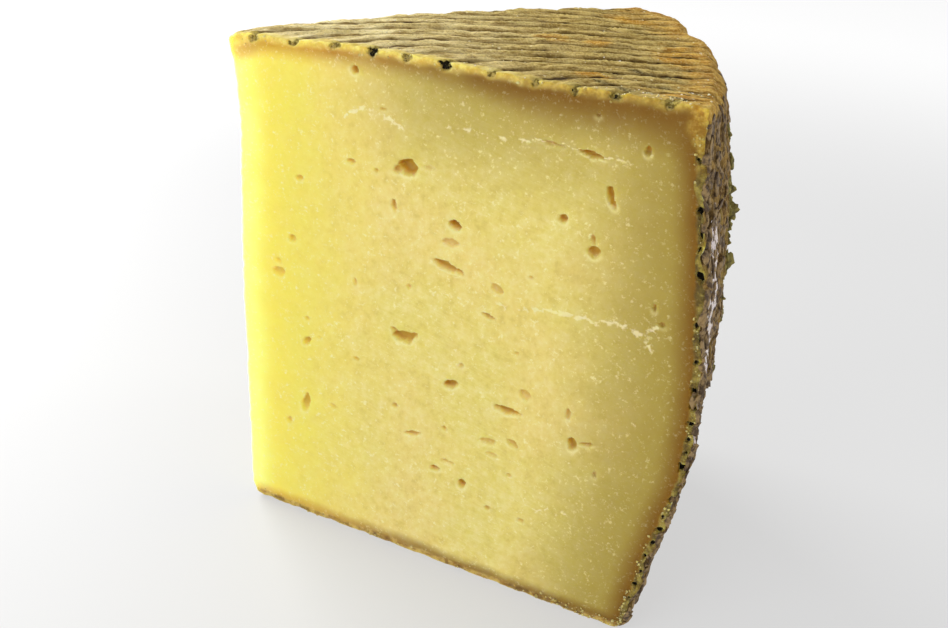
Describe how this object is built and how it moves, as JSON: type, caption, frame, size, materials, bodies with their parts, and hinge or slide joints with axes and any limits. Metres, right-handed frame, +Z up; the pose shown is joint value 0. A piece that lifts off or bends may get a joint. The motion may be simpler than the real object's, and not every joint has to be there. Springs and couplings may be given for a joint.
{
  "type": "aged cheese wedge",
  "caption": "Tall wedge cut from a wheel of aged pressed cheese, with a ribbed top rind, a plait-printed side rind and small eyes in its cut faces.",
  "frame": {"origin": "middle of the bounding box on the surface that the wedge stands on", "axes": "+Z up; the first cut face is upright and faces -Y, and runs from the tip at -X to the rind at +X"},
  "size_m": [0.1096, 0.086, 0.1201],
  "materials": {
    "cheese": "translucent pale yellow paste, slightly waxy, with a dry olive-brown rind"
  },
  "bodies": {
    "root": {"cheese_wedge": "cheese"}
  },
  "joints": []
}
